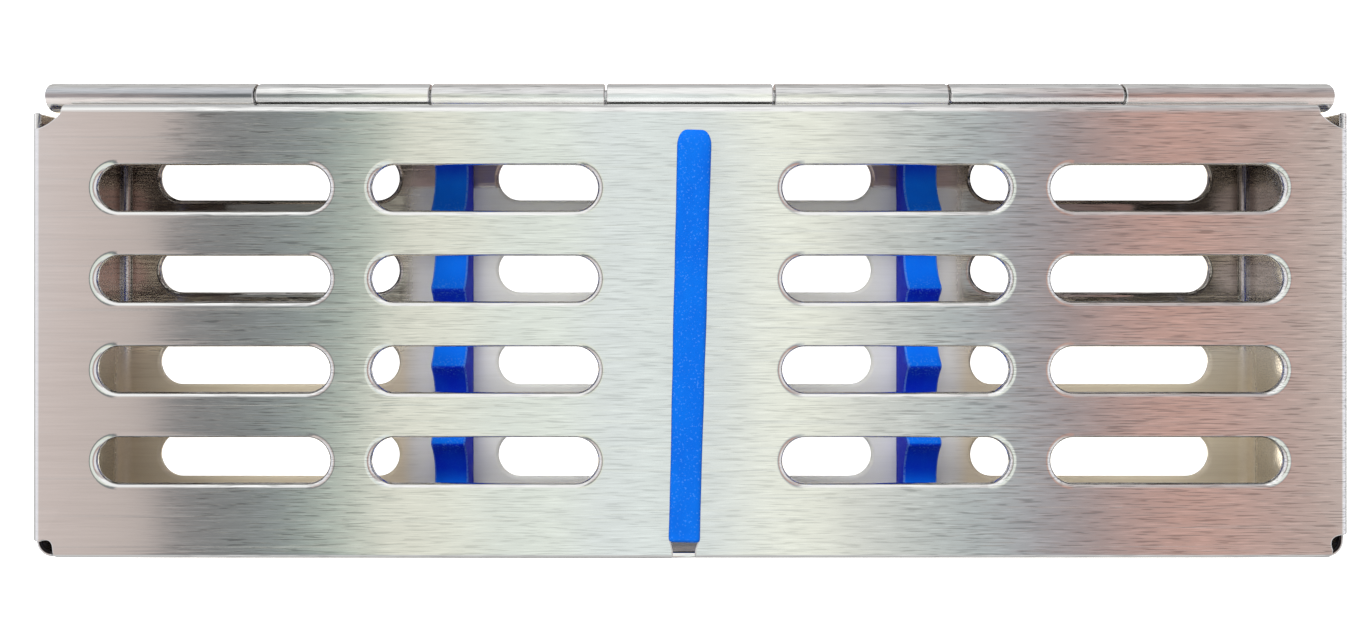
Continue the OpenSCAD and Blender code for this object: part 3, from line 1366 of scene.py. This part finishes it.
@dataclass
class Comb:
    """A silicone comb with scallops that hold the instruments."""

    finish: Silicone
    side: Side
    x: float = 35.9
    thick: float = 5.25
    floor: float = 1.8
    height: float = 6.85
    y0: float = -30.45
    y1: float = 27.45
    middle: float = -1.98
    pitch: float = 11.65
    scallop: float = 7.5
    deep: float = 2.95
    places: int = 5
    web: float = 2.4
    foot: float = 4.7
    foot_height: float = 1.0

    def crest(self, y: float) -> float:
        """Height of the comb's top at one place, with its ridges rounded over.

        Args:
            y: the place.

        Returns:
            The height.
        """
        low = self.floor + self.height
        for k in range(self.places):
            away = y - (self.middle + (k - (self.places - 1) / 2) * self.pitch)
            if abs(away) < self.scallop:
                dip = math.sqrt(self.scallop**2 - away**2)
                low = min(low, self.floor + self.height + 0.15 - self.deep + self.scallop - dip)
        return low

    def smooth_crest(self, y: float) -> float:
        """The crest averaged over half a millimetre, which rounds the ridges."""
        spread = [self.crest(y + d) for d in (-0.45, -0.22, 0.0, 0.22, 0.45)]
        return sum(spread) / len(spread)

    def section(self, y: float, top: float, pinch: float) -> list[Point3]:
        """Closed section across the comb.

        Args:
            y: where it is.
            top: height of its top.
            pinch: how far its sides are drawn in.

        Returns:
            The section's points, from the bottom left round.
        """
        half = self.thick / 2 - pinch
        wobble = 0.05 * noise.noise(Vector((self.side.value * 3.0, y * 0.23, 0.0)))
        x = self.side.value * self.x + wobble
        edge = 0.55
        points = [(x - half + 0.25, y, self.floor), (x + half - 0.25, y, self.floor)]
        points += [(x + half, y, self.floor + 0.25), (x + half, y, self.floor + 1.8)]
        for i in range(5):
            angle = math.pi / 2 * i / 4
            points.append(
                (x + half - edge + edge * math.cos(angle), y, top - edge + edge * math.sin(angle))
            )
        points += [(x + (half - edge) / 3, y, top + 0.0), (x - (half - edge) / 3, y, top + 0.0)]
        for i in range(5):
            angle = math.pi / 2 + math.pi / 2 * i / 4
            points.append(
                (x - half + edge + edge * math.cos(angle), y, top - edge + edge * math.sin(angle))
            )
        points += [(x - half, y, self.floor + 1.8), (x - half, y, self.floor + 0.25)]
        return points

    def bead(self, low: float, high: float, half: float, y0: float, y1: float, round_end: float) -> tuple:
        """A plain run with rounded ends and edges, for the web and the foot.

        Args:
            low: bottom.
            high: top.
            half: half its width.
            y0: front end.
            y1: rear end.
            round_end: how long the rounding at each end is.

        Returns:
            Vertices and faces.
        """
        x = self.side.value * self.x
        return bead_run(x, low, high, half, y0, y1, round_end)

    def ride(self) -> bpy.types.Object:
        """Moulds the comb and sets it on its body.

        Returns:
            The comb.
        """
        rings = []
        steps = 220
        for i in range(steps + 1):
            y = self.y0 + (self.y1 - self.y0) * i / steps
            near = min(y - self.y0, self.y1 - y)
            pinch = 0.35 * max(0.0, 1 - near / 0.5) ** 2
            rings.append(self.section(y, self.smooth_crest(y) - pinch * 0.8, pinch))
        points, faces = Workshop.loft(rings)
        runs = (
            bead_run(
                self.side.value * self.x,
                self.foot_height - 0.05,
                self.floor + 0.05,
                self.web / 2,
                self.y0 + 3,
                self.y1 - 3,
                0.3,
            ),
            bead_run(
                self.side.value * self.x,
                0.0,
                self.foot_height,
                self.foot / 2,
                self.y0 + 1,
                self.y1 - 1,
                1.6,
            ),
        )
        for more, skins in runs:
            start = len(points)
            points = points + more
            faces = faces + [tuple(start + i for i in f) for f in skins]
        name = "comb_left" if self.side is Side.LEFT else "comb_right"
        piece = Workshop.place(name, points, faces, self.finish.make())
        Workshop.square_up(piece)
        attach(piece, "base")
        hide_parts("left_comb" if self.side is Side.LEFT else "right_comb")
        return piece


def bead_run(
    x: float, low: float, high: float, half: float, y0: float, y1: float, round_end: float
) -> tuple[list[Point3], list[tuple[int, ...]]]:
    """A straight run of silicone with rounded edges and drawn-in ends.

    Args:
        x: its middle.
        low: bottom.
        high: top.
        half: half its width.
        y0: front end.
        y1: rear end.
        round_end: length over which each end is drawn in.

    Returns:
        Vertices and faces.
    """
    edge = min(0.3, (high - low) * 0.4, half * 0.4)
    rings = []
    steps = 60
    ends = [0.0, 0.02, 0.06, 0.14, 0.28, 0.5, 0.75, 1.0]
    places = [y0 + e * round_end for e in ends]
    places += [y0 + round_end + (y1 - y0 - 2 * round_end) * i / steps for i in range(1, steps)]
    places += [y1 - e * round_end for e in reversed(ends)]
    for y in places:
        near = min(y - y0, y1 - y) / round_end
        fill = math.sqrt(max(0.0, 1 - (1 - min(1.0, near)) ** 2))
        wide = half - min(half * 0.5, round_end) * (1 - fill)
        ring = []
        for cx, cz, start in (
            (wide - edge, high - edge, 0.0),
            (-wide + edge, high - edge, 90.0),
            (-wide + edge, low + edge, 180.0),
            (wide - edge, low + edge, 270.0),
        ):
            for i in range(4):
                angle = math.radians(start + 30 * i)
                ring.append((x + cx + edge * math.cos(angle), y, cz + edge * math.sin(angle)))
        rings.append(ring)
    return Workshop.loft(rings)


@dataclass
class Strip:
    """The silicone strip: a bead on the lid, a web in its slot and a pressing bar below."""

    finish: Silicone
    lid: Lid
    width: float = 4.6
    height: float = 1.0
    y0: float = -30.15
    y1: float = 25.85
    bar: float = 5.0
    bar_height: float = 5.0

    def half_width(self, y: float) -> float:
        """Half the bead's width at one place, a little uneven along its length."""
        t = (y - self.y0) / (self.y1 - self.y0)
        uneven = 0.07 * noise.noise(Vector((y * 0.16, 1.7, 0.0)))
        return self.width / 2 - 0.24 * (1 - t) + uneven

    def bead_rings(self) -> list[list[Point3]]:
        """Rings of the bead on top of the lid.

        Returns:
            The rings, front to rear.
        """
        rings = []
        length = self.y1 - self.y0
        ends = [0.0, 0.04, 0.12, 0.25, 0.45, 0.7, 1.0, 1.4]
        places = [self.y0 + e for e in ends]
        places += [self.y0 + 1.4 + (length - 3.6) * i / 110 for i in range(1, 110)]
        places += [self.y1 - 2.2 + 2.2 * e for e in (0.0, 0.25, 0.5, 0.7, 0.84, 0.93, 0.98, 1.0)]
        top = self.lid.top
        for y in places:
            front = min(1.0, (y - self.y0) / 0.45)
            rear = min(1.0, (self.y1 - y) / 2.2)
            tall = self.height * (0.35 + 0.65 * math.sqrt(max(0.0, 1 - (1 - front) ** 2)))
            tall = min(tall, self.height * (0.3 + 0.7 * math.sqrt(max(0.0, 1 - (1 - rear) ** 2))))
            tall *= 0.9 + 0.1 * math.exp(-(((y - self.y0 - 0.5) / 0.4) ** 2))
            wide = self.half_width(y)
            wide -= 0.35 * (1 - math.sqrt(max(0.0, 1 - (1 - front) ** 2)))
            wide -= 1.3 * (1 - math.sqrt(max(0.0, 1 - (1 - rear) ** 2)))
            ring = []
            for fx, fz in (
                (1.0, 0.0),
                (1.02, 0.25),
                (1.0, 0.5),
                (0.95, 0.72),
                (0.87, 0.87),
                (0.76, 0.96),
                (0.6, 1.0),
                (0.3, 0.985),
                (0.0, 0.975),
                (-0.3, 0.985),
                (-0.6, 1.0),
                (-0.76, 0.96),
                (-0.87, 0.87),
                (-0.95, 0.72),
                (-1.0, 0.5),
                (-1.02, 0.25),
                (-1.0, 0.0),
                (-0.5, -0.02),
                (0.5, -0.02),
            ):
                sag = 0.03 * noise.noise(Vector((fx * 1.5, y * 0.5, 4.0))) if fz > 0.9 else 0.0
                px, py = self.lid.turned(fx * wide, y)
                ring.append((px, py, top + fz * tall + sag - 0.03 * (fz > 0.9)))
            rings.append(ring)
        return rings

    def ride(self) -> bpy.types.Object:
        """Moulds the strip and hangs it on the lid's body.

        Returns:
            The strip.
        """
        points, faces = Workshop.loft(self.bead_rings())
        top, thick = self.lid.top, self.lid.thick
        runs = (
            bead_run(
                0.0,
                top - thick - 0.05,
                top + 0.05,
                self.lid.strip_slot / 2 - 0.05,
                self.y0 + 1.0,
                self.y1 - 1.1,
                0.3,
            ),
            bead_run(
                0.0,
                top - thick - self.bar_height,
                top - thick,
                self.bar / 2,
                self.y0 + 1.0,
                self.y1 - 2.0,
                1.2,
            ),
        )
        for more, skins in runs:
            start = len(points)
            points = points + [(*self.lid.turned(x, y), z) for x, y, z in more]
            faces = faces + [tuple(start + i for i in f) for f in skins]
        piece = Workshop.place("strip_silicone", points, faces, self.finish.make())
        Workshop.square_up(piece)
        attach(piece, "lid")
        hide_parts("lid_strip")
        return piece


# --------------------------------------------------------------------------- studio


@dataclass
class Studio:
    """Pale bench, soft surround and camera."""

    lens: float = 23.28
    bench_half: float = 3.0

    def surround(self) -> None:
        """Soft studio surround: broad pale panels overhead with darker gaps between them."""
        world = bpy.data.worlds.new("studio")
        bpy.context.scene.world = world
        world.use_nodes = True
        g = Graph(world.node_tree)
        way = g.add("ShaderNodeTexCoord", output="Generated")
        x = g.add("ShaderNodeSeparateXYZ", {}, {0: way}, 0)
        y = g.add("ShaderNodeSeparateXYZ", {}, {0: way}, 1)
        z = g.add("ShaderNodeSeparateXYZ", {}, {0: way}, 2)
        stops = (
            (-1.0, (0.90, 0.90, 0.95)),
            (-0.72, (0.86, 0.84, 0.86)),
            (-0.56, (0.71, 0.61, 0.58)),
            (-0.485, (0.61, 0.53, 0.50)),
            (-0.466, (0.255, 0.255, 0.26)),
            (-0.41, (0.25, 0.26, 0.26)),
            (-0.363, (0.29, 0.32, 0.325)),
            (-0.33, (0.38, 0.44, 0.41)),
            (-0.305, (0.54, 0.61, 0.54)),
            (-0.275, (0.86, 0.86, 0.75)),
            (-0.213, (0.90, 0.92, 0.81)),
            (-0.17, (0.84, 0.90, 0.84)),
            (-0.10, (0.90, 0.96, 0.88)),
            (-0.05, (0.84, 0.90, 0.90)),
            (0.01, (0.87, 0.94, 0.92)),
            (0.06, (0.80, 0.86, 0.86)),
            (0.125, (0.98, 1.01, 0.91)),
            (0.18, (0.96, 0.98, 0.87)),
            (0.234, (0.76, 0.78, 0.74)),
            (0.285, (0.63, 0.67, 0.65)),
            (0.335, (0.50, 0.55, 0.56)),
            (0.381, (0.42, 0.41, 0.44)),
            (0.425, (0.40, 0.33, 0.33)),
            (0.466, (0.56, 0.375, 0.34)),
            (0.504, (0.63, 0.39, 0.335)),
            (0.573, (0.56, 0.41, 0.375)),
            (0.603, (0.58, 0.46, 0.42)),
            (0.70, (0.80, 0.76, 0.74)),
            (1.0, (0.92, 0.92, 0.98)),
        )
        ramp_stops = [((p + 1) / 2, colour) for p, colour in stops]
        values = {"Vector": way, "Scale": 4.0, "Detail": 1.0}
        drift = g.add("ShaderNodeTexNoise", {}, values) - 0.5
        band = g.add("ShaderNodeValToRGB", {"stops": ramp_stops}, {0: (x + drift * 0.1) * 0.5 + 0.5})
        white = g.blend(x.above(0.36, 0.2), (1.08, 1.08, 1.08, 1.0), (0.62, 0.56, 0.56, 1.0))
        rear = g.blend(y.above(0.45, 0.4), band, white)
        sides = g.blend(abs(x).above(0.82, 0.2), rear, (0.95, 0.94, 1.0, 1.0))
        horizon = g.blend(z.above(0.16, 0.3), (0.72, 0.72, 0.73, 1.0), sides)
        outer = abs(x).above(0.3, 0.2)
        front_low = g.blend(outer, (2.0, 2.0, 1.9, 1.0), (2.1, 1.85, 1.45, 1.0))
        rear_low = g.blend(outer, (0.5, 0.42, 0.4, 1.0), (0.08, 0.065, 0.06, 1.0))
        deep = g.blend(y.above(-0.045, 0.2), front_low, rear_low)
        low = g.blend(z.above(-0.72, 0.2), deep, (0.6, 0.6, 0.6, 1.0))
        under = (0.0 - y).above(0.5, 0.2) * (1.0 - z.above(-0.64, 0.12))
        low = g.blend(under, low, (0.06, 0.055, 0.055, 1.0))
        room = g.blend(z.above(-0.04, 0.16), low, horizon)
        back = g.add("ShaderNodeBackground", {}, {"Color": room, "Strength": 1.05})
        g.add("ShaderNodeOutputWorld", {}, {"Surface": back})

    def bench(self) -> None:
        """Lays the pale bench top under the tray."""
        low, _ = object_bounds()
        half = self.bench_half / MM
        z = low[2] / MM - 0.02
        steps = 8
        points = []
        faces = []
        for i in range(steps + 1):
            for j in range(steps + 1):
                points.append((-half + 2 * half * i / steps, -half + 2 * half * j / steps, z))
        for i in range(steps):
            for j in range(steps):
                a = i * (steps + 1) + j
                faces.append((a, a + steps + 1, a + steps + 2, a + 1))
        piece = Workshop.place("bench_top", points, faces, Bench().make())
        piece.visible_glossy = False
        piece.visible_diffuse = False
        piece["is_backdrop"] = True

    def lamp(self) -> None:
        """A large soft lamp overhead that shades the silicone."""
        data = bpy.data.lights.new("soft_lamp", "AREA")
        data.shape = "RECTANGLE"
        data.size = 1.2
        data.size_y = 0.8
        data.energy = 27.0
        lamp = bpy.data.objects.new("soft_lamp", data)
        lamp.location = (-0.3, 1.0, 1.1)
        lamp.rotation_euler = (Vector(lamp.location)).to_track_quat("Z", "Y").to_euler()
        lamp.visible_glossy = False
        bpy.context.scene.collection.objects.link(lamp)

    def camera(self) -> None:
        """Sets the camera straight above the lid."""
        low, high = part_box("lid_cover")
        data = bpy.data.cameras.new("camera")
        data.lens = self.lens
        data.sensor_width = 36.0
        data.shift_x = 0.0238
        data.shift_y = -0.0418
        data.clip_start = 0.005
        camera = bpy.data.objects.new("camera", data)
        camera.location = (-0.0055, 0.00815, high[2] + 0.120)
        bpy.context.scene.collection.objects.link(camera)
        bpy.context.scene.camera = camera


def main() -> None:
    """Builds the tray's pieces in order and reports each one."""
    logging.basicConfig(level=logging.INFO, format="%(name)s: %(message)s")
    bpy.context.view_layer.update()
    hinge = Hinge()
    # The lid's steel: painted bright reflection on its knuckles, painted shade in its front corners.
    steel_lid = BrushedSteel(
        "steel_lid",
        (0.80, 0.80, 0.79, 1.0),
        0.09,
        rubbed_from=-0.0705,
        calm=(-0.044, 0.028),
        knuckle=0.6,
        pocket=(0.0877, -0.03045, 0.01975),
    )
    # The base's steel: painted shade and painted light on its floor and knuckles.
    steel_base = BrushedSteel(
        "steel_base",
        (0.8, 0.785, 0.76, 1.0),
        0.1,
        floor_rear_shade=0.8,
        matt_painted_light=0.95,
        crown=0.75,
        knuckle=0.55,
    )
    wire = BrushedSteel("steel_wire", (0.6, 0.6, 0.61, 1.0), 0.25, direction=Direction.DRAWN)
    blue = Silicone("silicone_blue", colour_of(4, 102, 204), colour_of(2, 80, 186), sparkle=0.5)
    comb_blue = Silicone(
        "silicone_comb", colour_of(6, 118, 250), colour_of(0, 36, 214), 0.5, 0.6, ridge=0.0074
    )
    lid = Lid(steel_lid, hinge)
    builders = (
        lid,
        Base(steel_base, hinge),
        Wire(wire, hinge),
        Comb(comb_blue, Side.LEFT),
        Comb(comb_blue, Side.RIGHT),
        Strip(blue, lid),
    )
    for builder in builders:
        piece = builder.ride()
        log.info("%s: %d faces", piece.name, len(piece.data.polygons))
    bpy.context.scene.view_settings.view_transform = "Standard"
    studio = Studio()
    studio.surround()
    studio.bench()
    studio.lamp()
    studio.camera()


if __name__ == "__main__":
    main()
